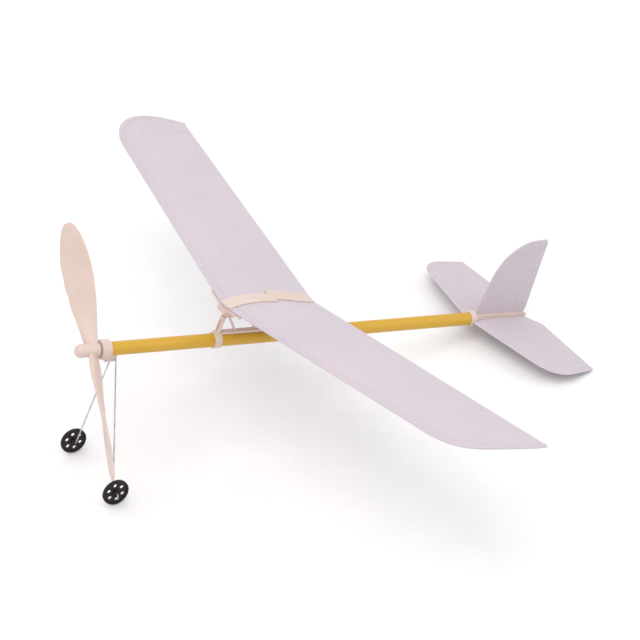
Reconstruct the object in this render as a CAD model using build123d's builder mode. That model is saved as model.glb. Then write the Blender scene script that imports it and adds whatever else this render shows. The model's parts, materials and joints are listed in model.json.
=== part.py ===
from build123d import *
import math
import os

# Rubber band plane: a tube fuselage with the rubber motor inside it, a two-blade propeller,
# a pylon that slides along the tube and carries two foam wing halves, a push-in tail and a
# bent wire landing gear.
#
# Everything is drawn with the fuselage level: +X runs aft along the tube, +Y to starboard,
# +Z up, and the tube's axis is the line Y = Z = 0. At the end the finished pieces are turned
# nose-up until the wheels and the tail boom stand on the plane Z = 0.

# ---- driving dimensions, millimetres ----
press = 0.0               # pieces pushed or glued together share their faces
running = 0.05            # radial clearance of a part that turns or slides on another
gap = 0.3                 # free space between neighbours that don't touch

tube_od = 9.5
tube_wall = 0.6
tube_front = -8.0         # front end, inside the nose collar
tube_length = 309.0

nose_collar_od = 13.4
nose_collar_length = 6.8
nose_collar_rear = -3.1
nose_collar_edge = 0.5    # chamfer
nose_plug_length = 16.0
nose_plug_flange_od = 10.6
nose_plug_flange = 1.2
nose_plug_edge = 0.6

lug_width = 4.0
lug_length = 9.0
lug_rear = 3.6
lug_drop = 9.0            # bottom of the lug below the tube axis
lug_corner = 0.8
wire_bar_inset = 1.3      # gear wire in front of the lug's rear face
wire_bar_lift = 1.0       # plastic under the gear wire

shaft_d = 1.2
washer_od = 4.4
washer_thickness = 0.5

hub_od = 9.0
hub_length = 13.4
hub_edge = 0.5
spinner_length = 3.8
spinner_peg_d = 5.0
spinner_peg_length = 2.0
shaft_pocket = 2.0        # room behind the spinner's peg for the bent end of the shaft
prop_radius = 87.9
prop_pitch = 146.0        # advance in one turn, which sets the twist of the blades
twist_radius = 14.0       # inside this radius the twist stays the same
prop_root_radius = 2.0
prop_lean = 43.4          # rest angle of the upper blade from the vertical, degrees
blade_centre = 8.6        # the blades' own line behind the front of the hub barrel
blade_rake = 1.7          # the blades curve this far forward towards their tips
blade_root_width = 9.4
blade_width_max = 26.4
blade_widest = 0.66       # place of the widest chord, as a share of the radius
blade_swell = 1.9         # how late the blade widens between root and widest chord
blade_root_thickness = 4.6
blade_tip_thickness = 1.4

hook_reach = 2.2
hook_clear = 6.0          # free shaft behind the nose plug
hook_eye_length = 7.0
hook_slope = 2.5
hook_tip = 3.2            # the free end of the wire stops this far behind the start of the hook
crank_clear = 0.4         # bent end of the shaft inside its pocket
wire_hook_bend = 0.9
hook_length = 7.5         # rear hook in front of the tail plug
rubber_width = 3.0
rubber_thickness = 1.0

wing_le = 78.6            # leading edge at the centre
wing_height = 26.3        # middle of the foam at the leading edge, above the tube axis
wing_chord = 73.8
wing_half_span = 243.0
wing_thickness = 1.5
wing_camber = 4.2
wing_crease = 0.27        # highest line of the camber, as a share of the chord
wing_drop = 1.4           # trailing edge below the leading edge
le_sweep = 0.113          # backward slope of the leading edge
te_sweep = 0.080
dihedral = 0.1095         # rise of the wing per unit of span
wing_root_gap = 0.4
wing_tip_corner = 34.0    # span of the rounded leading corner
wing_tip_bulge = 2.0
wing_tip_cut = 3.5        # the trailing corner is this far inside the half span
wing_tip_rear = 20.0      # pull of the tip curve, forward of the trailing corner
wing_tip_front = 24.0     # the same, aft of the leading edge
# leading corner: places of its curve, aft of the leading edge at the tip and in from the tip
wing_corner_end = (12.5, 4.8)
wing_corner_mid = (4.0, 10.0)
wing_corner_start = (-1.4, 19.5)

collar_od = 11.6
collar_width = 5.4
collar_edge = 0.4
front_collar_x = 76.3
rear_collar_x = 178.6
rail_width = 4.0
rail_thickness = 1.8
web_thickness = 1.8
web_rear_drop = 4.0       # rear edge of the web below the trailing edge, before it slopes to the collar
strut_width = 4.0
strut_depth = 2.0
strut_wall = 0.9
strut_lean = 2.0          # the strut's top is this far behind its foot
strut_height = 13.0
nose_block_width = 10.0
nose_block_length = 7.0
nose_block_depth = 5.2
window_high = 17.4        # top of the windows above the tube axis
window_sill = 0.8
window_corner = 1.2
brace_thickness = 1.5
brace_foot = 92.5
brace_lean = 6.5
brace_pitch = 16.0
brace_count = 5
saddle_half_width = 20.0
saddle_thickness = 1.2
saddle_lip = 0.4          # the saddle shows this far in front of the leading edge
joiner_width = 12.0
joiner_offset = 2.2       # the front half of the strip sits to port, the rear half to starboard
joiner_step = 0.515       # place of that step, as a share of the chord
joiner_thickness = 0.8
joiner_corner = 1.2
trim_travel = 15.0        # how far the wing slides each way

tail_ring_od = 11.4
tail_ring_length = 5.0
tail_socket = 3.8         # the tube goes this far into the ring
tail_plug_length = 10.0
boom_length = 46.4
boom_width = 8.0
boom_top_front = 3.8
boom_top_rear = 2.9
boom_low_front = 3.0
boom_low_rear = 2.3
groove_depth = 1.3        # depth of the side grooves, and height of the fin groove's floor
tail_sheet = 1.5
fin_height = 63.2
fin_chord = 50.5
fin_clear = 0.6           # fin behind the tail ring
fin_upright = 4.0         # straight start of the leading edge
fin_heel = 5.0            # height of the rear corner above the groove
fin_lean = 3.4            # the rear edge leans back this much from the heel to the tip
stab_half_span = 87.6
stab_front = 297.5
stab_chord = 58.0
stab_tip_cut = 3.5        # the rear edge at the tip is this far in front of the rear corner
stab_sweep = 0.19         # leading edge at three quarters of the span, as a share of the chord

wire_d = 1.0
wheel_d = 19.0
wheel_width = 3.6
wheel_hub_od = 4.2
wheel_tread = 1.9
wheel_rim = 1.5
wheel_web = 0.8
wheel_edge = 0.4
wheel_hole_d = 2.6
wheel_hole_circle = 10.8
wheel_holes = 6
wheel_hole_start = 46.2   # from the aft direction to the first hole, degrees
track = 66.0
axle_x = 4.1
axle_height = -92.6
axle_end = 3.2
wire_bend = 1.4
wire_top_bend = 0.8

# ---- sizes that follow ----
tube_r = tube_od / 2
tube_bore_r = tube_r - tube_wall
tube_rear = tube_front + tube_length
collar_front = nose_collar_rear - nose_collar_length
shaft_hole_r = shaft_d / 2 + running
washer_rear = collar_front - running
hub_rear = washer_rear - washer_thickness - running
hub_front = hub_rear - hub_length
blade_x = hub_front + blade_centre
wire_bar_x = lug_rear - wire_bar_inset
wire_bar_z = -(lug_drop - wire_d / 2 - wire_bar_lift)
rail_bottom = tube_r + running
rail_top = rail_bottom + rail_thickness
tail_ring_front = tube_rear - tail_socket
ring_rear = tail_ring_front + tail_ring_length
boom_rear = ring_rear + boom_length
motor_rear = tube_rear - tail_plug_length - hook_length
boom_front = ring_rear - collar_edge - gap
hook_root = tube_rear + shaft_d
wing_te = wing_le + wing_chord
stab_rear = stab_front + stab_chord


def camber_point(share, height=0.0):
    """A point of the wing's centre section, at a share of the chord and a height above its middle line."""
    rise = wing_camber * math.sin(math.pi / 2 * min(share / wing_crease, 1.0))
    if share > wing_crease:
        fall = (share - wing_crease) / (1.0 - wing_crease)
        rise = wing_camber * (1.0 - fall ** 1.6)
    return (wing_le + wing_chord * share, wing_height + rise - wing_drop * share + height)


camber_shares = [-0.04, 0.12, wing_crease, 0.62, 1.05]


def camber_section(low, high):
    """Closed cambered band between two heights, in the XZ plane, a little longer than the chord."""
    upper = [camber_point(share, high) for share in camber_shares]
    lower = [camber_point(share, low) for share in camber_shares]
    Spline(*upper)
    Line(upper[-1], lower[-1])
    Spline(*lower)
    Line(lower[0], upper[0])


def round_bar(points, radius, bend):
    """Round wire that follows the points with bends of one radius."""
    with BuildPart() as bar:
        with BuildLine() as path:
            FilletPolyline(*points, radius=bend)
        with BuildSketch(Plane(origin=path.line @ 0, z_dir=path.line % 0)):
            Circle(radius)
        sweep()
    return bar


# ---- fuselage ----
with BuildPart() as fuselage_tube:
    with BuildSketch(Plane.YZ.offset(tube_front)):
        Circle(tube_r)
        Circle(tube_bore_r, mode=Mode.SUBTRACT)
    extrude(amount=tube_length)

with BuildPart() as nose_collar:
    with BuildSketch(Plane.YZ.offset(collar_front)):
        Circle(nose_collar_od / 2)
    extrude(amount=nose_collar_length)
    chamfer(nose_collar.edges().filter_by(GeomType.CIRCLE), nose_collar_edge)
    # moulded lug that holds the landing gear wire against the tube
    with BuildSketch(Plane.XY.offset(-lug_drop)):
        with Locations((lug_rear - lug_length / 2, 0)):
            RectangleRounded(lug_length, lug_width, lug_corner)
    extrude(amount=lug_drop - tube_r + tube_wall)
    fillet(nose_collar.edges().group_by(Axis.Z)[0], lug_corner / 2)
    with BuildSketch(Plane.YZ.offset(tube_front)):
        Circle(tube_r + press)
    extrude(amount=lug_rear - tube_front + gap, mode=Mode.SUBTRACT)
    with BuildSketch(Plane.YZ.offset(collar_front)):
        Circle(tube_bore_r - running)
    extrude(amount=nose_collar_length, mode=Mode.SUBTRACT)
    with BuildSketch(Plane.YZ.offset(collar_front)):
        Circle(nose_plug_flange_od / 2)
    extrude(amount=nose_plug_flange, mode=Mode.SUBTRACT)
    with BuildSketch(Plane.XZ.offset(-lug_width)):
        with Locations((wire_bar_x, wire_bar_z)):
            Circle(wire_d / 2 + press)
    extrude(amount=2 * lug_width, mode=Mode.SUBTRACT)

with BuildPart() as nose_plug:
    with BuildSketch(Plane.YZ.offset(collar_front)):
        Circle(nose_plug_flange_od / 2)
    extrude(amount=nose_plug_flange)
    with BuildSketch(Plane.YZ.offset(collar_front)):
        Circle(tube_bore_r - running)
    extrude(amount=nose_plug_length)
    chamfer(nose_plug.edges().group_by(Axis.X)[-1], nose_plug_edge)
    with BuildSketch(Plane.YZ.offset(collar_front)):
        Circle(shaft_hole_r)
    extrude(amount=nose_plug_length, mode=Mode.SUBTRACT)

# ---- propeller group ----
with BuildPart() as thrust_washer:
    with BuildSketch(Plane.YZ.offset(washer_rear)):
        Circle(washer_od / 2)
        Circle(shaft_hole_r, mode=Mode.SUBTRACT)
    extrude(amount=-washer_thickness)


def blade_width(radius):
    """Chord of a blade: narrow root, widest near two thirds of the radius, round tip."""
    share = radius / prop_radius
    swell = math.sin(math.pi / 2 * min(share / blade_widest, 1.0)) ** blade_swell
    tip = math.sqrt(1.0 - (max(share - blade_widest, 0.0) / (1.0 - blade_widest)) ** 2)
    return (blade_root_width + (blade_width_max - blade_root_width) * swell) * tip


def blade_thickness(radius):
    """Thickness of a blade, which tapers evenly from root to tip."""
    return blade_root_thickness + (blade_tip_thickness - blade_root_thickness) * radius / prop_radius


def blade_plane(radius, lean):
    """Plane across a blade at a radius, with its x direction along the twisted chord."""
    out = Vector(0, math.sin(lean), math.cos(lean))
    side = Vector(0, math.cos(lean), -math.sin(lean))
    twist = math.atan2(prop_pitch, 2 * math.pi * max(radius, twist_radius))
    chord = side * math.cos(twist) - Vector(1, 0, 0) * math.sin(twist)
    centre = Vector(blade_x - blade_rake * (radius / prop_radius) ** 2, 0, 0) + out * radius
    return Plane(origin=centre, x_dir=chord, z_dir=out)


blade_shares = [0.10, 0.18, 0.27, 0.38, 0.52, 0.66, 0.79, 0.89, 0.955, 0.99]
blade_stations = [prop_root_radius] + [share * prop_radius for share in blade_shares]

with BuildPart() as propeller:
    for lean in (math.radians(prop_lean), math.radians(prop_lean + 180)):
        for radius in blade_stations:
            with BuildSketch(blade_plane(radius, lean)):
                Ellipse(blade_width(radius) / 2, blade_thickness(radius) / 2)
        loft()
    with BuildSketch(Plane.YZ.offset(hub_rear)):
        Circle(hub_od / 2)
    extrude(amount=-hub_length)
    fillet(propeller.edges().filter_by(GeomType.CIRCLE).group_by(Axis.X)[-1], hub_edge)
    with BuildSketch(Plane.YZ.offset(hub_rear)):
        Circle(shaft_d / 2 + press)
    extrude(amount=-hub_length, mode=Mode.SUBTRACT)
    # pocket under the spinner for the bent end of the shaft
    with BuildSketch(Plane.YZ.offset(hub_front)):
        Circle(spinner_peg_d / 2)
    extrude(amount=spinner_peg_length + shaft_pocket, mode=Mode.SUBTRACT)

with BuildPart() as spinner_cap:
    with BuildSketch(Plane.YZ.offset(hub_front)):
        Circle(hub_od / 2)
    extrude(amount=-spinner_length)
    fillet(spinner_cap.edges().group_by(Axis.X)[0], spinner_length - running)
    with BuildSketch(Plane.YZ.offset(hub_front)):
        Circle(spinner_peg_d / 2 - running)
    extrude(amount=spinner_peg_length)

shaft_crank = hub_front + spinner_peg_length + shaft_pocket / 2
shaft_hook = collar_front + nose_plug_length + hook_clear
hook_eye = shaft_hook + hook_eye_length

propeller_shaft = round_bar(
    [
        (shaft_crank, 0, spinner_peg_d / 2 - shaft_d / 4 - crank_clear),
        (shaft_crank, 0, 0),
        (shaft_hook, 0, 0),
        (shaft_hook + hook_slope, 0, -hook_reach),
        (hook_eye, 0, -hook_reach),
        (hook_eye, 0, hook_reach),
        (shaft_hook + hook_tip, 0, hook_reach),
    ],
    shaft_d / 2,
    wire_hook_bend,
)

rear_hook = round_bar(
    [
        (hook_root, 0, 0),
        (motor_rear + hook_length - gap, 0, 0),
        (motor_rear + 0.6 * hook_length, 0, -hook_reach),
        (motor_rear, 0, -hook_reach),
        (motor_rear, 0, hook_reach),
        (motor_rear + 0.5 * hook_length, 0, hook_reach),
    ],
    shaft_d / 2,
    wire_hook_bend,
)

# one flat loop of rubber strip from hook to hook
strand_y = shaft_d / 2 + gap
with BuildPart() as rubber_motor:
    with BuildSketch(Plane.XY.offset(-rubber_width / 2)):
        with Locations(((hook_eye + motor_rear) / 2, 0)):
            SlotCenterToCenter(motor_rear - hook_eye, 2 * (strand_y + rubber_thickness))
            SlotCenterToCenter(motor_rear - hook_eye, 2 * strand_y, mode=Mode.SUBTRACT)
    extrude(amount=rubber_width)

# ---- wing ----
wing_reach = 1.1 * wing_half_span


def wing_half(side):
    """One cambered foam wing half, trimmed to its outline with a round leading corner."""
    le_tip = wing_le + le_sweep * wing_half_span
    te_tip = wing_te + te_sweep * wing_half_span
    root = wing_root_gap / 2
    corner_x = le_tip - le_sweep * wing_tip_corner
    corner_span = wing_half_span - wing_tip_corner
    tip_line = side * (wing_half_span + wing_tip_bulge)
    corner = [
        (le_tip + back, side * (wing_half_span - inboard))
        for back, inboard in (wing_corner_end, wing_corner_mid, wing_corner_start)
    ]
    with BuildPart() as half:
        with BuildSketch(Plane.XZ):
            with BuildLine():
                camber_section(-wing_thickness / 2, wing_thickness / 2)
            make_face()
        extrude(amount=wing_reach, dir=(le_sweep, side, dihedral))
        with BuildSketch(Plane.XY):
            with BuildLine():
                Line((wing_te, side * root), (te_tip, side * (wing_half_span - wing_tip_cut)))
                Bezier(
                    (te_tip, side * (wing_half_span - wing_tip_cut)),
                    (te_tip - wing_tip_rear, tip_line),
                    (le_tip + wing_tip_front, tip_line),
                    corner[0],
                )
                Bezier(*corner, (corner_x, side * corner_span))
                Line((corner_x, side * corner_span), (wing_le, side * root))
                Line((wing_le, side * root), (wing_te, side * root))
            make_face()
        extrude(amount=2 * wing_height + dihedral * wing_half_span, mode=Mode.INTERSECT)
    return half


wing_left = wing_half(-1)
wing_right = wing_half(1)


def truss_bar(start, end, thickness, width):
    """Flat bar of the pylon's truss between two points of the XZ plane."""
    run = Vector(*end) - Vector(*start)
    turn = math.degrees(math.atan2(run.Y, run.X))
    with BuildSketch(Plane.XZ.offset(-width / 2)) as bar:
        with Locations((Vector(*start) + Vector(*end)) / 2):
            Rectangle(run.length + thickness / 2, thickness, rotation=turn)
    extrude(bar.sketch, amount=width)


saddle_low = -wing_thickness / 2 - saddle_thickness
strut_foot = (front_collar_x + collar_width / 2, rail_bottom)
strut_top = (strut_foot[0] + strut_lean, strut_foot[1] + strut_height)
strut_line = Vector(*strut_top) - Vector(*strut_foot)
strut_turn = math.degrees(math.atan2(strut_line.Y, strut_line.X))
block_x = wing_le - saddle_lip + nose_block_length / 2
block_top = camber_point(0.0)[1]
web_rear = (wing_te + saddle_lip, camber_point(1.0)[1] - web_rear_drop)
rail_end = rear_collar_x + collar_width
window_low = rail_top + window_sill
window_front = strut_foot[0] + strut_depth
window_rear = web_rear[0] + 2 * window_sill

with BuildPart() as wing_pylon:
    # dihedral saddle under both wing halves
    for side in (-1, 1):
        with BuildSketch(Plane.XZ):
            with BuildLine():
                camber_section(saddle_low, -wing_thickness / 2)
            make_face()
        extrude(amount=1.05 * saddle_half_width, dir=(le_sweep, side, dihedral))
    with BuildSketch():
        for side in (-1, 1):
            with BuildLine():
                Polyline(
                    (wing_le - saddle_lip, 0),
                    (wing_le - saddle_lip + le_sweep * saddle_half_width, side * saddle_half_width),
                    (wing_te, side * saddle_half_width),
                    (wing_te, 0),
                    (wing_le - saddle_lip, 0),
                )
            make_face()
    extrude(amount=2 * wing_height, mode=Mode.INTERSECT)
    # upright web from the rail to the saddle, sloping down to the rear collar
    with BuildSketch(Plane.XZ.offset(-web_thickness / 2)):
        with BuildLine():
            Polyline(
                strut_foot,
                strut_top,
                (wing_le, block_top),
                camber_point(wing_crease),
                camber_point(1.0),
                web_rear,
                (rail_end, rail_top),
                (rail_end, rail_bottom),
                strut_foot,
            )
        make_face()
    extrude(amount=web_thickness)
    with BuildSketch(Plane.XZ.offset(-web_thickness)):
        with BuildLine():
            FilletPolyline(
                (window_front, window_low),
                (window_front + strut_lean, window_high),
                (window_rear, window_high - window_sill),
                (rear_collar_x - brace_lean, window_low),
                radius=window_corner,
                close=True,
            )
        make_face()
    extrude(amount=2 * web_thickness, mode=Mode.SUBTRACT)
    for count in range(brace_count):
        foot = brace_foot + brace_pitch * count
        truss_bar((foot, window_low), (foot - brace_lean, window_high), brace_thickness, web_thickness)
    # collars that slide on the tube
    for start in (front_collar_x, rear_collar_x):
        with BuildPart(mode=Mode.PRIVATE) as collar:
            with BuildSketch(Plane.YZ.offset(start)):
                Circle(collar_od / 2)
            extrude(amount=collar_width)
            chamfer(collar.edges().filter_by(GeomType.CIRCLE), collar_edge)
        add(collar.part)
    # rail along the top of the tube
    with BuildSketch(Plane.XY.offset(rail_bottom)):
        with Locations(((front_collar_x + rail_end) / 2, 0)):
            Rectangle(rail_end - front_collar_x, rail_width)
    extrude(amount=rail_thickness)
    # front strut, a channel that opens forward, and the block that it carries at the leading edge
    truss_bar(strut_foot, strut_top, strut_depth, strut_width)
    with BuildSketch(Plane.XZ.offset(-(strut_width / 2 - strut_wall))):
        with Locations((Vector(*strut_top) + Vector(*strut_foot)) / 2 + Vector(-strut_wall, 0)):
            Rectangle(strut_line.length - 2 * strut_depth, strut_depth, rotation=strut_turn)
    extrude(amount=strut_width - 2 * strut_wall, mode=Mode.SUBTRACT)
    with BuildSketch(Plane.XZ.offset(-nose_block_width / 2)):
        with Locations((block_x, block_top - nose_block_depth / 2)):
            RectangleRounded(nose_block_length, nose_block_depth, window_corner)
    extrude(amount=nose_block_width)
    # seat of the foam: nothing stands above the saddle
    for side in (-1, 1):
        with BuildSketch(Plane.XZ):
            with BuildLine():
                camber_section(-wing_thickness / 2, wing_height)
            make_face()
        extrude(amount=2 * saddle_half_width, dir=(le_sweep, side, dihedral), mode=Mode.SUBTRACT)
    # bore for the tube
    with BuildSketch(Plane.YZ.offset(front_collar_x - gap)):
        Circle(tube_r + running)
    extrude(amount=rail_end - front_collar_x + 2 * gap, mode=Mode.SUBTRACT)

joiner_front = camber_point(0.01)[0]
joiner_middle = camber_point(joiner_step)[0]
joiner_rear = camber_point(0.99)[0]

with BuildPart() as wing_joiner:
    for side in (-1, 1):
        with BuildSketch(Plane.XZ):
            with BuildLine():
                camber_section(wing_thickness / 2, wing_thickness / 2 + joiner_thickness)
            make_face()
        extrude(amount=joiner_width, dir=(le_sweep, side, dihedral))
    # plan of the strip: its two halves step sideways past each other
    with BuildSketch():
        for start, end, shift in (
            (joiner_front, joiner_middle + joiner_corner, -joiner_offset),
            (joiner_middle - joiner_corner, joiner_rear, joiner_offset),
        ):
            with Locations(((start + end) / 2, shift)):
                RectangleRounded(end - start, joiner_width, joiner_corner)
    extrude(amount=2 * wing_height, mode=Mode.INTERSECT)

# ---- tail ----
with BuildPart() as tail_boom:
    with BuildSketch(Plane.YZ.offset(tail_ring_front)):
        Circle(tail_ring_od / 2)
    extrude(amount=tail_ring_length)
    chamfer(tail_boom.edges().filter_by(GeomType.CIRCLE), collar_edge)
    with BuildSketch(Plane.YZ.offset(tail_ring_front)):
        Circle(tube_r + press)
    extrude(amount=tube_rear - tail_ring_front, mode=Mode.SUBTRACT)
    with BuildSketch(Plane.YZ.offset(tube_rear)):
        Circle(tube_bore_r - running)
    extrude(amount=-tail_plug_length)
    with BuildSketch(Plane.XZ.offset(-boom_width / 2)):
        with BuildLine():
            Polyline(
                (boom_front, boom_top_front),
                (boom_rear, boom_top_rear),
                (boom_rear, -boom_low_rear),
                (boom_front, -boom_low_front),
                (boom_front, boom_top_front),
            )
        make_face()
    extrude(amount=boom_width)
    # grooves for the fin and the two stabiliser halves, open at the rear
    with BuildSketch(Plane.XZ.offset(-tail_sheet / 2 - press)):
        with Locations((ring_rear + boom_length / 2 + gap, boom_top_front)):
            Rectangle(boom_length + 2 * gap, 2 * (boom_top_front - groove_depth))
    extrude(amount=tail_sheet + 2 * press, mode=Mode.SUBTRACT)
    for side in (-1, 1):
        with BuildSketch(Plane.XY.offset(-tail_sheet / 2 - press)):
            with Locations((ring_rear + boom_length / 2 + gap, side * boom_width / 2)):
                Rectangle(boom_length + 2 * gap, 2 * groove_depth)
        extrude(amount=tail_sheet + 2 * press, mode=Mode.SUBTRACT)
    # hole for the rear hook
    with BuildSketch(Plane.YZ.offset(hook_root)):
        Circle(shaft_d / 2 + press)
    extrude(amount=-tail_plug_length - 2 * shaft_d, mode=Mode.SUBTRACT)

fin_root_z = groove_depth
fin_front = ring_rear + fin_clear
fin_rear = fin_front + fin_chord
fin_lift = fin_height - fin_root_z

with BuildPart() as fin:
    with BuildSketch(Plane.XZ.offset(-tail_sheet / 2)):
        with BuildLine():
            Line((boom_rear - gap, fin_root_z), (fin_front, fin_root_z))
            Line((fin_front, fin_root_z), (fin_front, fin_root_z + fin_upright))
            Spline(
                (fin_front, fin_root_z + fin_upright),
                (fin_front + 0.10 * fin_chord, fin_root_z + 0.44 * fin_lift),
                (fin_front + 0.30 * fin_chord, fin_root_z + 0.79 * fin_lift),
                (fin_front + 0.615 * fin_chord, fin_root_z + 0.965 * fin_lift),
                (fin_front + 0.975 * fin_chord, fin_root_z + fin_lift),
                tangents=[(0.06, 1), (1, 0.02)],
            )
            Line(
                (fin_front + 0.975 * fin_chord, fin_root_z + fin_lift),
                (fin_rear, fin_root_z + 0.95 * fin_lift),
            )
            Line((fin_rear, fin_root_z + 0.95 * fin_lift), (fin_rear - fin_lean, fin_root_z + fin_heel))
            Line((fin_rear - fin_lean, fin_root_z + fin_heel), (boom_rear - gap, fin_root_z))
        make_face()
    extrude(amount=tail_sheet)


def stabiliser_half(side):
    """One stabiliser half, with its root edge in the boom's side groove."""
    root = boom_width / 2 - groove_depth
    clear = tail_ring_od / 2 + gap
    tip = stab_half_span
    with BuildPart() as half:
        with BuildSketch(Plane.XY.offset(-tail_sheet / 2)):
            with BuildLine():
                Polyline(
                    (boom_rear - gap, side * root),
                    (ring_rear + gap, side * root),
                    (ring_rear + gap, side * clear),
                    (stab_front, side * clear),
                    (stab_front + stab_sweep * stab_chord, side * 0.76 * tip),
                )
                Bezier(
                    (stab_front + stab_sweep * stab_chord, side * 0.76 * tip),
                    (stab_front + (stab_sweep + 0.045) * stab_chord, side * 0.92 * tip),
                    (stab_front + 0.36 * stab_chord, side * 1.0 * tip),
                    (stab_front + 0.56 * stab_chord, side * tip),
                )
                Polyline(
                    (stab_front + 0.56 * stab_chord, side * tip),
                    (stab_rear - stab_tip_cut, side * 0.965 * tip),
                    (stab_rear, side * 0.2 * tip),
                    (boom_rear - gap, side * (boom_width / 2 + groove_depth)),
                    (boom_rear - gap, side * root),
                )
            make_face()
        extrude(amount=tail_sheet)
    return half


stabiliser_left = stabiliser_half(-1)
stabiliser_right = stabiliser_half(1)

# ---- landing gear ----
axle_outer = track / 2 + wheel_width / 2 + gap + wire_bend + wire_d / 2
axle_inner = track / 2 - wheel_width / 2 - gap - wire_bend
leg_top = lug_width / 2 + wire_top_bend + gap

landing_gear_wire = round_bar(
    [
        (axle_x, -axle_outer, axle_height - axle_end),
        (axle_x, -axle_outer, axle_height),
        (axle_x, -axle_inner, axle_height),
        (wire_bar_x, -leg_top, wire_bar_z),
        (wire_bar_x, leg_top, wire_bar_z),
        (axle_x, axle_inner, axle_height),
        (axle_x, axle_outer, axle_height),
        (axle_x, axle_outer, axle_height - axle_end),
    ],
    wire_d / 2,
    [wire_bend, wire_bend, wire_top_bend, wire_top_bend, wire_bend, wire_bend],
)


def wheel(side):
    """Moulded disc wheel: thin web, square rim, hub boss and a circle of round holes."""
    centre = Plane(origin=(axle_x, side * track / 2, axle_height), z_dir=(0, -1, 0), x_dir=(1, 0, 0))
    rim = wheel_d / 2
    with BuildPart() as disc:
        with BuildSketch(centre.offset(-wheel_tread / 2)):
            Circle(rim)
            Circle(rim - wheel_rim, mode=Mode.SUBTRACT)
        extrude(amount=wheel_tread)
        fillet(disc.edges().filter_by(GeomType.CIRCLE), wheel_edge)
        with BuildSketch(centre.offset(-wheel_web / 2)):
            Circle(rim - wheel_rim / 2)
        extrude(amount=wheel_web)
        with BuildSketch(centre.offset(-wheel_width / 2)):
            Circle(wheel_hub_od / 2)
        extrude(amount=wheel_width)
        with BuildSketch(centre.offset(-wheel_width / 2)):
            Circle(wire_d / 2 + running)
            with PolarLocations(wheel_hole_circle / 2, wheel_holes, start_angle=wheel_hole_start):
                Circle(wheel_hole_d / 2)
        extrude(amount=wheel_width, mode=Mode.SUBTRACT)
    return disc


wheel_left = wheel(-1)
wheel_right = wheel(1)

# ---- stand the plane on its wheels and tail boom ----
skid = Vector(boom_rear, 0, -boom_low_rear)
reach = math.hypot(skid.X - axle_x, skid.Z - axle_height)
tilt = math.degrees(math.atan2(skid.Z - axle_height, skid.X - axle_x) + math.asin(wheel_d / 2 / reach))

pieces = {
    "fuselage_tube": fuselage_tube,
    "nose_collar": nose_collar,
    "nose_plug": nose_plug,
    "thrust_washer": thrust_washer,
    "propeller": propeller,
    "spinner_cap": spinner_cap,
    "propeller_shaft": propeller_shaft,
    "rear_hook": rear_hook,
    "rubber_motor": rubber_motor,
    "wing_left": wing_left,
    "wing_right": wing_right,
    "wing_pylon": wing_pylon,
    "wing_joiner": wing_joiner,
    "tail_boom": tail_boom,
    "fin": fin,
    "stabiliser_left": stabiliser_left,
    "stabiliser_right": stabiliser_right,
    "landing_gear_wire": landing_gear_wire,
    "wheel_left": wheel_left,
    "wheel_right": wheel_right,
}

os.makedirs("parts", exist_ok=True)
standing = Location((0, 0, 0), (0, tilt, 0))
turned = [piece.part.moved(standing) for piece in pieces.values()]
boxes = [shape.bounding_box() for shape in turned]
nose_end = min(box.min.X for box in boxes)
tail_end = max(box.max.X for box in boxes)
lowest = min(box.min.Z for box in boxes)
ground = Location((-(nose_end + tail_end) / 2, 0, -lowest))

for (name, piece), shape in zip(pieces.items(), turned):
    piece.part = shape.moved(ground)
    piece.part.label = name
    export_step(piece.part, f"parts/{name}.step")
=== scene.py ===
import json
import math

import bmesh
import bpy
import numpy as np
from mathutils import Matrix, Vector
from mathutils.geometry import delaunay_2d_cdt


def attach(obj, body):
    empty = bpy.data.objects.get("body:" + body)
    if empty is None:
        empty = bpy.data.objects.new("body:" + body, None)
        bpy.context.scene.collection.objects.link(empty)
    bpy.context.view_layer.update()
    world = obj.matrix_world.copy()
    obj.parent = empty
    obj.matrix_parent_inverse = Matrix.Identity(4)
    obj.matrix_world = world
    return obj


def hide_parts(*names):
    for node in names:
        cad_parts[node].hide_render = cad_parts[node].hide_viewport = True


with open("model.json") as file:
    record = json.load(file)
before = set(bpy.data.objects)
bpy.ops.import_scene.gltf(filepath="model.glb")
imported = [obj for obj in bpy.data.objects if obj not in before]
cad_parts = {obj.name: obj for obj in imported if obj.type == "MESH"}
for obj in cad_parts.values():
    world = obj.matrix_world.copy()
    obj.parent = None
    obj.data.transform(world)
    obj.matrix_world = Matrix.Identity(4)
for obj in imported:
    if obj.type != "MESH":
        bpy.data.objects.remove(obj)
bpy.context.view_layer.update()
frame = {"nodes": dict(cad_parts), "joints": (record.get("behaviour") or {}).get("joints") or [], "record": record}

mm = 0.001
nodes = frame["nodes"]
joints = {joint["name"]: joint for joint in frame["joints"]}

# ---- the fuselage's own axes: aft along the tube, starboard and up; level positions are along these ----
spin = joints["propeller_spin"]
aft = -Vector(spin["axis"]).normalized()
starboard = Vector((0.0, 1.0, 0.0))
up = aft.cross(starboard)
axis_point = Vector(spin["pos_m"])
to_level = Matrix((aft, starboard, up))


def place(points):
    """Points in level positions, from the propeller joint, set back in the CAD frame."""
    return np.asarray(points) @ np.array(to_level) + np.array(axis_point)


# ---- camera, at the photograph's viewing angle ----
def add_camera():
    azimuth = math.radians(-30.08)
    elevation = math.radians(34.87)
    roll = math.radians(-1.43)
    distance = 1.440
    target = axis_point + aft * 0.1779 + up * 0.0091
    direction = Vector(
        (
            math.sin(azimuth) * math.cos(elevation),
            -math.cos(azimuth) * math.cos(elevation),
            math.sin(elevation),
        )
    )
    data = bpy.data.cameras.new("camera")
    data.sensor_width = 36.0
    data.lens = 115.3
    data.clip_end = 50.0
    camera = bpy.data.objects.new("camera", data)
    bpy.context.scene.collection.objects.link(camera)
    camera.matrix_world = (
        Matrix.Translation(target + direction * distance)
        @ direction.to_track_quat("Z", "Y").to_matrix().to_4x4()
        @ Matrix.Rotation(roll, 4, "Z")
    )
    bpy.context.scene.camera = camera


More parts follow.
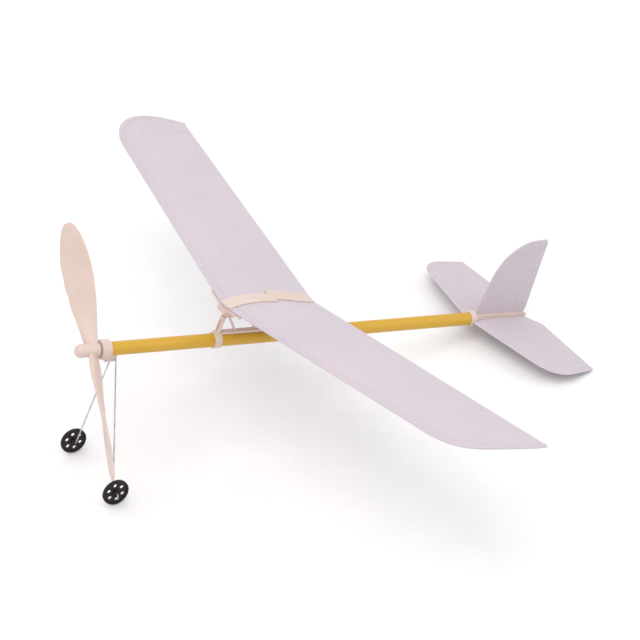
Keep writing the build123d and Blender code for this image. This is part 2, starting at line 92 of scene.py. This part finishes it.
# ---- studio ----
def add_area_light(name, position, size, energy, colour, aim):
    data = bpy.data.lights.new(name, "AREA")
    data.shape = "DISK"
    data.size = size
    data.energy = energy
    data.color = colour
    light = bpy.data.objects.new(name, data)
    bpy.context.scene.collection.objects.link(light)
    light.location = position
    light.rotation_euler = (Vector(aim) - Vector(position)).to_track_quat("-Z", "Y").to_euler()


def add_studio():
    world = bpy.data.worlds.new("studio")
    world.use_nodes = True
    background = world.node_tree.nodes["Background"]
    background.inputs["Color"].default_value = (1.0, 1.0, 1.0, 1.0)
    background.inputs["Strength"].default_value = 0.90
    bpy.context.scene.world = world
    bpy.context.scene.view_settings.view_transform = "Standard"
    add_area_light("key", (-0.5, -0.3, 1.6), 1.6, 12.5, (1.0, 0.94, 0.91), (0.0, 0.0, 0.08))
    add_area_light("fill", (1.1, -0.9, 0.9), 1.2, 4.0, (0.95, 0.97, 1.0), (0.0, 0.0, 0.08))
    add_area_light("rim", (0.6, 1.3, 1.1), 1.0, 2.0, (0.90, 0.93, 1.0), (0.0, 0.0, 0.08))


# ---- materials ----
class Shading:
    """Small helper that lays out one procedural material."""

    def __init__(self, name, **sockets):
        self.material = bpy.data.materials.new(name)
        self.material.use_nodes = True
        self.tree = self.material.node_tree
        self.shader = self.tree.nodes["Principled BSDF"]
        for socket, value in sockets.items():
            self.shader.inputs[socket.replace("_", " ")].default_value = value

    def node(self, kind, **values):
        made = self.tree.nodes.new(kind)
        for key, value in values.items():
            if key in made.inputs:
                made.inputs[key].default_value = value
            else:
                setattr(made, key, value)
        return made

    def link(self, source, target):
        self.tree.links.new(source, target)

    def position(self, scale=(1, 1, 1)):
        """Position along the fuselage's own axes, stretched along them."""
        coords = self.node("ShaderNodeTexCoord")
        level = self.node("ShaderNodeMapping", Rotation=(0.0, math.atan2(aft.z, aft.x), 0.0))
        mapping = self.node("ShaderNodeMapping", Scale=scale)
        self.link(coords.outputs["Object"], level.inputs["Vector"])
        self.link(level.outputs["Vector"], mapping.inputs["Vector"])
        return mapping.outputs["Vector"]

    def noise(self, scale, detail=3.0, roughness=0.5, vector=None):
        texture = self.node("ShaderNodeTexNoise", Scale=scale, Detail=detail, Roughness=roughness)
        self.link(vector or self.position(), texture.inputs["Vector"])
        return texture.outputs["Fac"]

    def ramp(self, factor, stops):
        ramp = self.node("ShaderNodeValToRGB")
        elements = ramp.color_ramp.elements
        while len(elements) < len(stops):
            elements.new(0.5)
        for element, (place_, colour) in zip(elements, stops):
            element.position = place_
            element.color = (*colour, 1.0)
        self.link(factor, ramp.inputs["Fac"])
        return ramp.outputs["Color"]

    def mix(self, factor, first, second, blend="MIX"):
        mix = self.node("ShaderNodeMix", data_type="RGBA", blend_type=blend)
        for index, value in ((0, factor), (6, first), (7, second)):
            if hasattr(value, "is_output"):
                self.link(value, mix.inputs[index])
            else:
                mix.inputs[index].default_value = value
        return mix.outputs[2]

    def spread(self, factor, low, high):
        """A factor from 0 to 1 mapped to low..high."""
        mapped = self.node("ShaderNodeMapRange")
        mapped.inputs["To Min"].default_value = low
        mapped.inputs["To Max"].default_value = high
        self.link(factor, mapped.inputs["Value"])
        return mapped.outputs["Result"]

    def bumps(self, *layers):
        """Stacked bump layers of (height, strength, distance)."""
        normal = None
        for height, strength, distance in layers:
            bump = self.node("ShaderNodeBump", Strength=strength, Distance=distance)
            self.link(height, bump.inputs["Height"])
            if normal:
                self.link(normal, bump.inputs["Normal"])
            normal = bump.outputs["Normal"]
        self.link(normal, self.shader.inputs["Normal"])

    def set(self, socket, value):
        self.link(value, self.shader.inputs[socket])


def foam_material():
    """Pressed polystyrene foam: flattened cells, faint mottling and a soft satin skin."""
    look = Shading("pressed_foam", Subsurface_Weight=0.3, Subsurface_Scale=0.003, IOR=1.35, Coat_Weight=0.06)
    look.shader.inputs["Coat Roughness"].default_value = 0.35
    look.shader.inputs["Subsurface Radius"].default_value = (1.0, 0.85, 0.9)
    cells = look.node("ShaderNodeTexVoronoi", Scale=900.0, feature="DISTANCE_TO_EDGE")
    look.link(look.position(), cells.inputs["Vector"])
    cell_tone = look.node("ShaderNodeTexVoronoi", Scale=900.0)
    look.link(look.position(), cell_tone.inputs["Vector"])
    mottle = look.ramp(look.noise(14.0, 4.0), [(0.3, (0.518, 0.474, 0.518)), (0.7, (0.560, 0.496, 0.542))])
    tinted = look.mix(0.06, mottle, cell_tone.outputs["Color"], "SOFT_LIGHT")
    pores = look.ramp(cells.outputs["Distance"], [(0.0, (0.90, 0.88, 0.92)), (0.12, (1.0, 1.0, 1.0))])
    look.set("Base Color", look.mix(0.5, tinted, pores, "MULTIPLY"))
    look.set("Roughness", look.spread(look.noise(160.0, 4.0), 0.42, 0.62))
    look.bumps(
        (cells.outputs["Distance"], 0.10, 0.0002),
        (look.noise(60.0, 5.0), 0.08, 0.0006),
    )
    return look.material


def moulded_material():
    """Cream injection-moulded plastic with faint flow marks and handling haze."""
    look = Shading(
        "moulded_plastic", Subsurface_Weight=0.25, Subsurface_Scale=0.002, IOR=1.49, Coat_Weight=0.12
    )
    look.shader.inputs["Coat Roughness"].default_value = 0.3
    flow = look.noise(40.0, 3.0)
    look.set(
        "Base Color",
        look.ramp(
            flow,
            [(0.3, (0.610, 0.485, 0.425)), (0.55, (0.635, 0.510, 0.455)), (0.8, (0.655, 0.540, 0.490))],
        ),
    )
    look.set("Roughness", look.spread(look.noise(500.0, 4.0), 0.34, 0.50))
    look.bumps((look.noise(1400.0, 2.0), 0.05, 0.0001), (flow, 0.02, 0.0003))
    return look.material


def tube_material():
    """Extruded yellow plastic tube: very faint drawing streaks along its length and a satin skin."""
    look = Shading("yellow_tube", Subsurface_Weight=0.1, Subsurface_Scale=0.002, IOR=1.45, Coat_Weight=0.1)
    look.shader.inputs["Coat Roughness"].default_value = 0.3
    streaks = look.noise(1500.0, 2.0, vector=look.position((0.01, 1.0, 1.0)))
    patches = look.noise(25.0, 3.0, vector=look.position((0.4, 1.0, 1.0)))
    base = look.ramp(patches, [(0.3, (0.540, 0.310, 0.018)), (0.7, (0.590, 0.345, 0.024))])
    fine = look.ramp(streaks, [(0.3, (0.520, 0.295, 0.016)), (0.7, (0.600, 0.355, 0.026))])
    look.set("Base Color", look.mix(0.3, base, fine))
    look.set("Roughness", look.spread(patches, 0.32, 0.44))
    look.bumps((streaks, 0.05, 0.0001))
    return look.material


def wheel_material():
    """Charcoal moulded plastic with a worn, dusty tread."""
    look = Shading("wheel_plastic", IOR=1.33)
    grain = look.noise(900.0, 4.0)
    dust = look.noise(120.0, 5.0)
    clean = (0.010, 0.008, 0.007, 1.0)
    dusty = (0.028, 0.024, 0.021, 1.0)
    look.set("Base Color", look.mix(look.spread(dust, 0.0, 0.5), clean, dusty))
    look.set("Roughness", look.spread(dust, 0.38, 0.62))
    look.bumps((grain, 0.12, 0.0002))
    return look.material


def steel_material():
    """Drawn music wire with fine lengthwise scratches and a little tarnish."""
    look = Shading("steel_wire", Metallic=1.0)
    tarnish = look.noise(180.0, 4.0)
    scratch = look.noise(3000.0, 2.0, vector=look.position((1.0, 1.0, 0.05)))
    look.set("Base Color", look.ramp(tarnish, [(0.3, (0.34, 0.33, 0.31)), (0.7, (0.62, 0.61, 0.60))]))
    look.set("Roughness", look.spread(scratch, 0.22, 0.42))
    look.bumps((scratch, 0.15, 0.0001))
    return look.material


def brass_material():
    """Stamped brass washer."""
    look = Shading("washer_brass", Metallic=1.0)
    tone = look.noise(400.0, 4.0)
    look.set("Base Color", look.ramp(tone, [(0.3, (0.58, 0.40, 0.16)), (0.7, (0.80, 0.60, 0.28))]))
    look.set("Roughness", look.spread(tone, 0.25, 0.45))
    look.bumps((tone, 0.1, 0.0001))
    return look.material


def rubber_material():
    """Tan rubber strip with a chalky bloom."""
    look = Shading("motor_rubber", Subsurface_Weight=0.2, Subsurface_Scale=0.001)
    bloom = look.noise(300.0, 5.0)
    look.set("Base Color", look.ramp(bloom, [(0.3, (0.42, 0.27, 0.13)), (0.7, (0.56, 0.40, 0.22))]))
    look.set("Roughness", look.spread(bloom, 0.55, 0.8))
    look.bumps((bloom, 0.15, 0.0002))
    return look.material


def floor_material():
    """Plain pale studio floor with a barely visible grain."""
    look = Shading("studio_floor", Specular_IOR_Level=0.2)
    grain = look.noise(40.0, 4.0)
    look.set("Base Color", look.ramp(grain, [(0.3, (0.86, 0.86, 0.87)), (0.7, (0.88, 0.88, 0.885))]))
    look.set("Roughness", look.spread(grain, 0.6, 0.75))
    return look.material


# ---- foam panels ----
foam_thickness = 1.5 * mm
crease_share = 0.27        # highest line of the wing's camber, as a share of the chord


def panel_outline(name, axes):
    """Outline of a thin CAD sheet as ordered (a, b, h) points, and all points of its upper face.

    axes gives the level axes that serve as a, b and the height h."""
    work = bmesh.new()
    work.from_mesh(nodes[name].data)
    bmesh.ops.remove_doubles(work, verts=work.verts, dist=1e-6)
    rotation = np.array(to_level)
    upper = set()
    for face in work.faces:
        face.normal_update()
        if (rotation @ np.array(face.normal))[axes[2]] > 0.6:
            upper.add(face)
    follow = {}
    for edge in work.edges:
        bordering = [face for face in edge.link_faces if face in upper]
        if len(bordering) == 1:
            first, second = edge.verts
            follow.setdefault(first.index, []).append(second.index)
            follow.setdefault(second.index, []).append(first.index)
    start = next(iter(follow))
    loop = [start]
    previous = None
    while True:
        step = [index for index in follow[loop[-1]] if index != previous]
        previous = loop[-1]
        if step[0] == start or len(loop) > len(follow):
            break
        loop.append(step[0])
    work.verts.ensure_lookup_table()
    points = np.array([work.verts[index].co for index in loop])
    cloud = np.array([vertex.co for face in upper for vertex in face.verts])
    work.free()
    points = (points - np.array(axis_point)) @ rotation.T
    cloud = (cloud - np.array(axis_point)) @ rotation.T
    a, b = points[:, axes[0]], points[:, axes[1]]
    if np.sum(a * np.roll(b, -1) - b * np.roll(a, -1)) < 0:
        points = points[::-1]
    return points[:, axes], cloud[:, axes]


def divided(outline, spacing):
    """The outline with its long segments divided."""
    rows = []
    for start, end in zip(outline, np.roll(outline, -1, axis=0)):
        count = max(1, math.ceil(np.linalg.norm(end - start) / spacing))
        rows.extend(start + (end - start) * k / count for k in range(count))
    return np.array(rows)


def distance_to(points, starts, ends):
    """Shortest distance from each point to a set of segments."""
    along = ends - starts
    length = np.maximum((along**2).sum(1), 1e-18)
    best = np.full(len(points), np.inf)
    for start, step, size in zip(starts, along, length):
        share = np.clip(((points - start) @ step) / size, 0, 1)
        gap = points - start - share[:, None] * step
        best = np.minimum(best, np.sqrt((gap**2).sum(1)))
    return best


def inside(points, outline):
    """Which points lie inside a closed outline."""
    hit = np.zeros(len(points), bool)
    x, y = points[:, 0], points[:, 1]
    for (ax, ay), (bx, by) in zip(outline, np.roll(outline, -1, axis=0)):
        crosses = (ay > y) != (by > y)
        with np.errstate(divide="ignore", invalid="ignore"):
            hit ^= crosses & (x < (bx - ax) * (y - ay) / (by - ay) + ax)
    return hit


def line_rows(start, end, spacing, offsets):
    """Rows of points along a line and beside it."""
    start, end = np.array(start), np.array(end)
    count = max(2, math.ceil(np.linalg.norm(end - start) / spacing))
    unit = (end - start) / np.linalg.norm(end - start)
    side = np.array((-unit[1], unit[0]))
    shares = np.linspace(0, 1, count)
    return np.concatenate([start + shares[:, None] * (end - start) + side * o for o in offsets])


def ridge(distance, width):
    """Smooth ridge profile: 1 on the line, 0 beyond its width."""
    share = np.minimum(np.abs(distance) / width, 1.0)
    return 0.5 + 0.5 * np.cos(np.pi * share)


def foam_panel(name, body, axes, rim_side, rim, marks, middle, half, material):
    """Pressed foam sheet on a CAD sheet's outline: round edges, a bead inside its rim and pressed marks.

    rim_side(normals) picks the outline stretches that carry the bead.
    rim is the bead's (inset, half width, height).
    Each mark is (start, end, half width, height).
    middle(points) is the height of the sheet's middle surface."""
    shape, _cloud = panel_outline(name, axes)
    outline = divided(shape[:, :2], 1.3 * mm)
    nexts = np.roll(outline, -1, axis=0)
    tangent = nexts - np.roll(outline, 1, axis=0)
    tangent /= np.linalg.norm(tangent, axis=1)[:, None]
    outward = np.stack((tangent[:, 1], -tangent[:, 0]), axis=1)
    edge = nexts - outline
    edge_out = np.stack((edge[:, 1], -edge[:, 0]), axis=1) / np.linalg.norm(edge, axis=1)[:, None]
    carries = rim_side(edge_out)
    round_steps = [half * share for share in (0.12, 0.4, 0.85, 1.3)]
    bead_steps = [rim[0] + rim[1] * share for share in (-1.0, -0.5, 0.0, 0.5, 0.9, 1.25, 1.6, 2.0, 2.4)]
    rows = [outline - outward * step for step in round_steps + bead_steps]
    for start, end, width, _height in marks:
        offsets = [width * share for share in (-1.0, -0.5, 0.0, 0.5, 1.0)]
        rows.append(line_rows(start, end, 1.2 * mm, offsets))
    candidates = np.concatenate(rows)
    low, high = outline.min(0), outline.max(0)
    spacing = 2.4 * mm
    grid = np.stack(
        np.meshgrid(np.arange(low[0], high[0], spacing), np.arange(low[1], high[1], spacing)), axis=-1
    ).reshape(-1, 2)
    clear = distance_to(grid, outline, nexts) > bead_steps[-1] + 0.5 * spacing
    for start, end, width, _height in marks:
        clear &= distance_to(grid, np.array([start]), np.array([end])) > width + 0.4 * spacing
    candidates = np.concatenate((candidates, grid[clear]))
    from_edge = distance_to(candidates, outline, nexts)
    keep = inside(candidates, outline) & (from_edge > 0.1 * half)
    # a row that has come too near another stretch of the outline is dropped
    order = np.concatenate([np.full(len(outline), step) for step in round_steps + bead_steps])
    keep[: len(order)] &= from_edge[: len(order)] > order - 0.05 * mm
    points = np.concatenate((outline, candidates[keep]))
    ring = [(k, (k + 1) % len(outline)) for k in range(len(outline))]
    flat, _edges, triangles, *_sources = delaunay_2d_cdt(
        [Vector(point) for point in points], ring, [list(range(len(outline)))], 1, 1e-7
    )
    flat = np.array(flat)
    edge_distance = distance_to(flat, outline, nexts)
    rim_distance = distance_to(flat, outline[carries], nexts[carries])
    relief = rim[2] * ridge(rim_distance - rim[0], rim[1])
    # the bead stands beside a shallow groove
    relief -= 0.6 * rim[2] * ridge(rim_distance - rim[0] - 1.6 * rim[1], 0.8 * rim[1])
    for start, end, width, height in marks:
        pressed = height * ridge(distance_to(flat, np.array([start]), np.array([end])), width)
        relief = np.where(np.abs(pressed) > np.abs(relief), pressed, relief)
    height = middle(flat)
    slope = 0.05 * mm
    slope_a = (middle(flat + np.array((slope, 0))) - middle(flat - np.array((slope, 0)))) / (2 * slope)
    slope_b = (middle(flat + np.array((0, slope))) - middle(flat - np.array((0, slope)))) / (2 * slope)
    normal = np.stack((-slope_a, -slope_b, np.ones(len(flat))), axis=1)
    normal /= np.linalg.norm(normal, axis=1)[:, None]
    thick = half * np.sqrt(1 - (1 - np.minimum(edge_distance / half, 1)) ** 2)
    surface = np.column_stack((flat, height))
    on_edge = edge_distance < 1e-6
    relief = np.where(on_edge, 0.0, relief)
    top = surface + normal * (relief + thick)[:, None]
    bottom = surface + normal * (relief - thick)[:, None]
    local = np.concatenate((top, bottom))
    twin = np.where(on_edge, np.arange(len(flat)), np.arange(len(flat)) + len(flat))
    faces = [tuple(face) for face in triangles]
    faces += [tuple(int(twin[index]) for index in reversed(face)) for face in triangles]
    level = np.zeros_like(local)
    for column, axis in enumerate(axes):
        level[:, axis] = local[:, column]
    return mesh_piece(name + "_foam", level, faces, body, material, [name])


def mesh_piece(name, vertices, faces, body, material, replaced):
    """A mesh in level coordinates, set in place, smooth shaded and tied to its body, with the CAD nodes it
    replaces hidden.
    """
    mesh = bpy.data.meshes.new(name)
    mesh.from_pydata([tuple(v) for v in place(vertices)], [], faces)
    work = bmesh.new()
    work.from_mesh(mesh)
    loose = [vertex for vertex in work.verts if not vertex.link_faces]
    bmesh.ops.delete(work, geom=loose, context="VERTS")
    bmesh.ops.recalc_face_normals(work, faces=work.faces)
    work.to_mesh(mesh)
    work.free()
    mesh.polygons.foreach_set("use_smooth", [True] * len(mesh.polygons))
    mesh.materials.append(material)
    piece = bpy.data.objects.new(name, mesh)
    bpy.context.scene.collection.objects.link(piece)
    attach(piece, body)
    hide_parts(*replaced)
    return piece


def build_wing(name, body, side, material):
    """Cambered foam half wing with a bead inside its rim, a camber crease and an outlined aileron panel."""
    axes = [0, 1, 2]
    shape, cloud = panel_outline(name, axes)
    half = foam_thickness / 2
    span = np.abs(shape[:, 1])
    half_span = span.max()
    root = span.min()
    root_row = shape[span < root + 0.1 * mm]
    le_root = root_row[root_row[:, 0].argmin()]
    te_root = root_row[root_row[:, 0].argmax()]
    corner = shape[shape[:, 0].argmax()]
    straight = shape[(shape[:, 0] < le_root[0] + 0.16 * half_span) & (span > half_span - 60 * mm)]
    le_end = straight[np.abs(straight[:, 1]).argmin()]
    reach = abs(le_end[1]) - root
    le_sweep = (le_end[0] - le_root[0]) / reach
    rise = (le_end[2] - le_root[2]) / reach
    outboard_cloud = np.abs(cloud[:, 1])
    ruled = np.stack((cloud[:, 0] - le_sweep * outboard_cloud, cloud[:, 2] - rise * outboard_cloud), axis=1)
    ruled = ruled[ruled[:, 0].argsort()]

    def middle(points):
        outboard = np.abs(points[:, 1])
        section = np.interp(points[:, 0] - le_sweep * outboard, ruled[:, 0], ruled[:, 1])
        return section + rise * outboard - half

    te_slope = (corner[0] - te_root[0]) / (abs(corner[1]) - root)

    def at(share, outboard, ahead=0.0):
        """Plan point at a share of the chord, moved forward from there."""
        leading = le_root[0] + le_sweep * outboard
        trailing = te_root[0] + te_slope * outboard
        return (leading + (trailing - leading) * share - ahead, side * outboard)

    panel_in, panel_out = half_span - 57 * mm, half_span - 19 * mm
    panel_depth = 12.5 * mm
    marks = [
        (at(crease_share, 9 * mm), at(crease_share + 0.01, half_span - 9 * mm), 1.7 * mm, 0.32 * mm),
        (at(1.0, panel_in, panel_depth), at(1.0, panel_out, panel_depth), 0.9 * mm, -0.5 * mm),
        (at(1.0, panel_in, panel_depth), at(1.0, panel_in, 1.5 * mm), 0.9 * mm, -0.5 * mm),
        (at(1.0, panel_out, panel_depth), at(1.0, panel_out, 1.5 * mm), 0.9 * mm, -0.5 * mm),
    ]
    return foam_panel(
        name,
        body,
        axes,
        lambda out: (out[:, 0] < -0.3) | (out[:, 1] * side > 0.6),
        (2.5 * mm, 1.3 * mm, 0.6 * mm),
        marks,
        middle,
        half,
        material,
    )


def build_stabiliser(name, body, side, material):
    """Flat foam stabiliser half with a bead inside its rim and a hinge mark."""
    axes = [0, 1, 2]
    shape, _cloud = panel_outline(name, axes)
    half = foam_thickness / 2
    level = shape[:, 2].mean() - half
    rear = shape[:, 0].max()
    tip = np.abs(shape[:, 1]).max()
    marks = [
        ((rear - 15 * mm, side * 0.30 * tip), (rear - 16 * mm, side * 0.82 * tip), 0.9 * mm, -0.35 * mm),
        ((rear - 15 * mm, side * 0.30 * tip), (rear - 3 * mm, side * 0.30 * tip), 0.9 * mm, -0.35 * mm),
        ((rear - 16 * mm, side * 0.82 * tip), (rear - 5 * mm, side * 0.82 * tip), 0.9 * mm, -0.35 * mm),
    ]
    return foam_panel(
        name,
        body,
        axes,
        lambda out: (out[:, 0] < -0.3) | (out[:, 1] * side > 0.6),
        (2.3 * mm, 1.1 * mm, 0.45 * mm),
        marks,
        lambda points: np.full(len(points), level),
        half,
        material,
    )


def build_fin(material):
    """Upright foam fin with a bead inside its rim and a pressed rudder outline."""
    axes = [0, 2, 1]
    shape, _cloud = panel_outline("fin", axes)
    half = foam_thickness / 2
    rear = shape[:, 0].max()
    base = shape[:, 1].min()
    top = shape[:, 1].max()
    low_mark = base + 0.16 * (top - base)
    high_mark = base + 0.62 * (top - base)
    marks = [
        ((rear - 14 * mm, low_mark), (rear - 12 * mm, high_mark), 0.9 * mm, -0.35 * mm),
        ((rear - 14 * mm, low_mark), (rear - 5 * mm, low_mark), 0.9 * mm, -0.35 * mm),
        ((rear - 12 * mm, high_mark), (rear - 3 * mm, high_mark), 0.9 * mm, -0.35 * mm),
    ]
    return foam_panel(
        "fin",
        "fuselage",
        axes,
        lambda out: (out[:, 0] < -0.3) | (out[:, 1] > 0.6),
        (2.3 * mm, 1.1 * mm, 0.45 * mm),
        marks,
        lambda points: np.zeros(len(points)),
        half,
        material,
    )


def shade_node(name, material):
    """Give a CAD node its finished material."""
    mesh = nodes[name].data
    mesh.materials.clear()
    mesh.materials.append(material)


add_camera()
add_studio()

foam = foam_material()
moulded = moulded_material()
tube_yellow = tube_material()
wheel_plastic = wheel_material()
steel = steel_material()
brass = brass_material()
rubber = rubber_material()

finishes = {
    "tube_plastic": tube_yellow,
    "moulded_plastic": moulded,
    "foam": foam,
    "wheel_plastic": wheel_plastic,
    "steel_wire": steel,
    "brass": brass,
    "motor_rubber": rubber,
}
for part in frame["record"]["subparts"]:
    shade_node(part["node"], finishes[part["material_slot"]])

build_wing("wing_left", "wing_group", -1, foam)
build_wing("wing_right", "wing_group", 1, foam)
build_stabiliser("stabiliser_left", "fuselage", -1, foam)
build_stabiliser("stabiliser_right", "fuselage", 1, foam)
build_fin(foam)

# ---- floor ----
floor_size = 12.0
floor_mesh = bpy.data.meshes.new("floor")
corner = floor_size / 2
floor_mesh.from_pydata(
    [(-corner, -corner, 0), (corner, -corner, 0), (corner, corner, 0), (-corner, corner, 0)],
    [],
    [(0, 1, 2, 3)],
)
floor_mesh.materials.append(floor_material())
floor = bpy.data.objects.new("floor", floor_mesh)
bpy.context.scene.collection.objects.link(floor)
